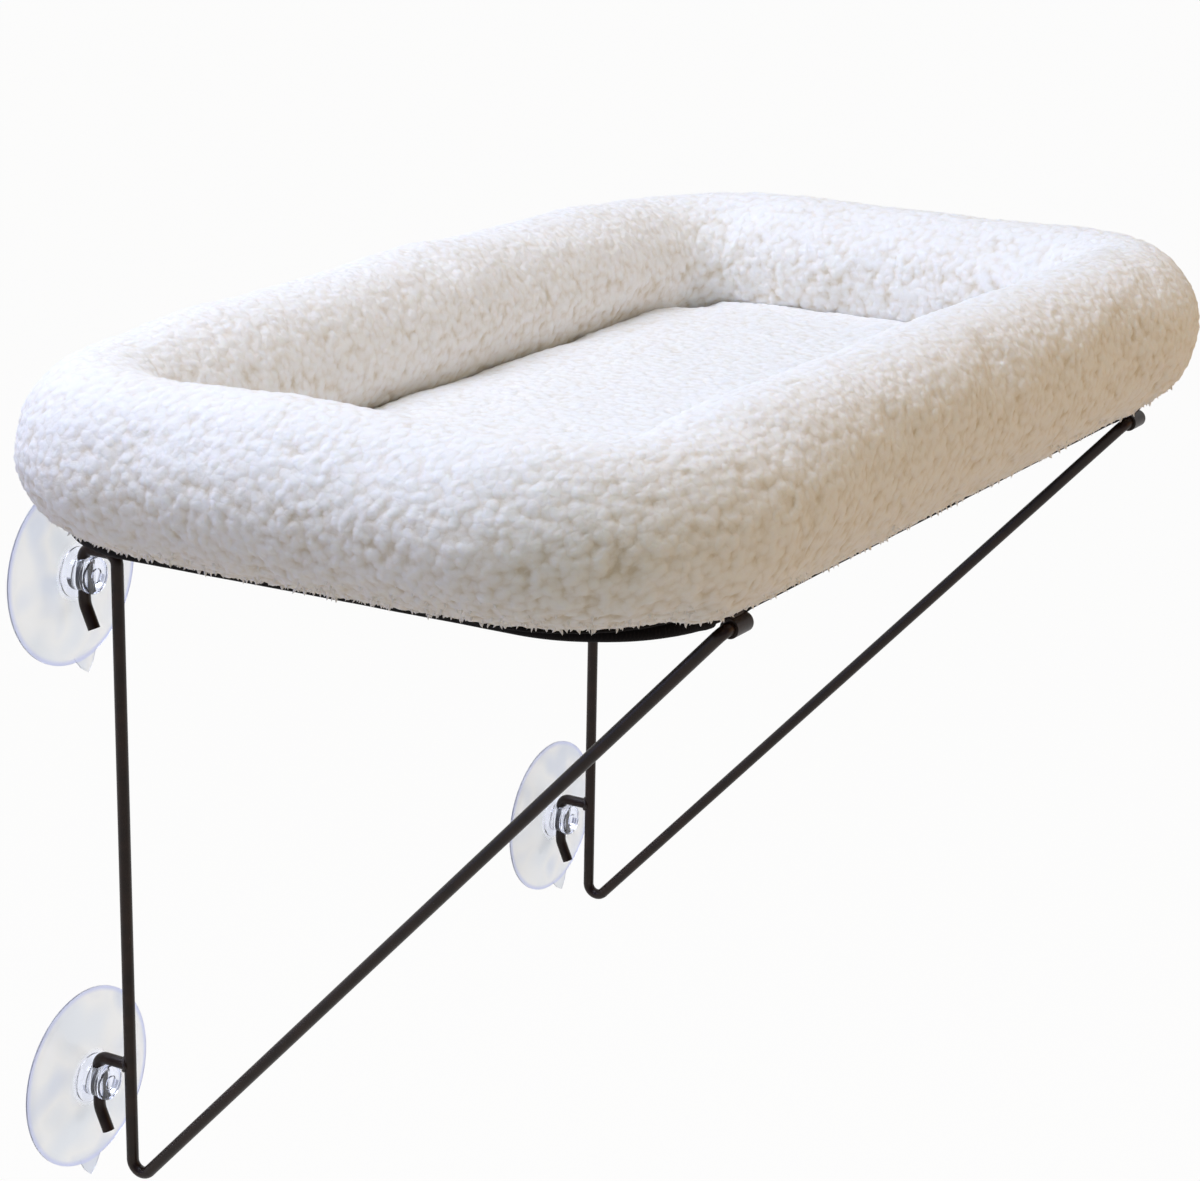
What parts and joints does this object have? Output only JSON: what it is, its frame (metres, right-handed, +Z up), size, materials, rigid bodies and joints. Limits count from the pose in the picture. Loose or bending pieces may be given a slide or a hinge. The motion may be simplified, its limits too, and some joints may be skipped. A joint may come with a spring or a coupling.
{
  "type": "window mounted cat perch",
  "caption": "Wire cat perch that hangs on a window by suction cups: a folding platform on bent wire braces carries a lift-off bolster bed.",
  "frame": {"origin": "middle of the four suction cups, on the window pane", "axes": "+X along the window, +Y through the pane, away from the room, +Z up"},
  "size_m": [0.598, 0.3585, 0.4118],
  "materials": {
    "brace_wire": "satin black-brown powder coat",
    "rail_wire": "satin black-brown powder coat",
    "clear_pvc": "clear glossy moulded",
    "canvas": "plain weave, matte",
    "sherpa": "curly pile",
    "fibre": "loose fibre"
  },
  "bodies": {
    "braces": {"left_brace": "brace_wire", "right_brace": "brace_wire", "left_lower_hook": "brace_wire", "right_lower_hook": "brace_wire"},
    "upper_left_cup": {"upper_left_cup": "clear_pvc"},
    "upper_right_cup": {"upper_right_cup": "clear_pvc"},
    "lower_left_cup": {"lower_left_cup": "clear_pvc"},
    "lower_right_cup": {"lower_right_cup": "clear_pvc"},
    "platform": {"platform_rail": "rail_wire", "left_pivot_sleeve": "rail_wire", "right_pivot_sleeve": "rail_wire", "left_saddle": "rail_wire", "right_saddle": "rail_wire", "front_channel": "canvas", "rear_channel": "canvas", "left_channel": "canvas", "right_channel": "canvas", "sling_panel": "canvas"},
    "bed": {"base_pad": "canvas", "floor_cushion": "sherpa", "bolster_cover": "sherpa", "bolster_filling": "fibre"}
  },
  "joints": [
    {"name": "upper_left_cup_swivel", "type": "hinge", "parent": "braces", "child": "upper_left_cup", "pos_m": [-0.202, -0.0072, 0.1215], "axis": [0, 0, 1], "range_deg": [-15, 15]},
    {"name": "upper_right_cup_swivel", "type": "hinge", "parent": "braces", "child": "upper_right_cup", "pos_m": [0.202, -0.0072, 0.1215], "axis": [0, 0, 1], "range_deg": [-15, 15]},
    {"name": "lower_left_cup_swivel", "type": "hinge", "parent": "braces", "child": "lower_left_cup", "pos_m": [-0.202, -0.0072, -0.1215], "axis": [0, 0, 1], "range_deg": [-75, 75]},
    {"name": "lower_right_cup_swivel", "type": "hinge", "parent": "braces", "child": "lower_right_cup", "pos_m": [0.202, -0.0072, -0.1215], "axis": [0, 0, 1], "range_deg": [-75, 75]},
    {"name": "platform_tilt", "type": "hinge", "parent": "braces", "child": "platform", "pos_m": [0, -0.327, 0.152], "axis": [1, 0, 0], "range_deg": [0, 130]},
    {"name": "bed_lift", "type": "slide", "parent": "platform", "child": "bed", "axis": [0, 0, 1], "range_m": [0, 0.12]}
  ]
}
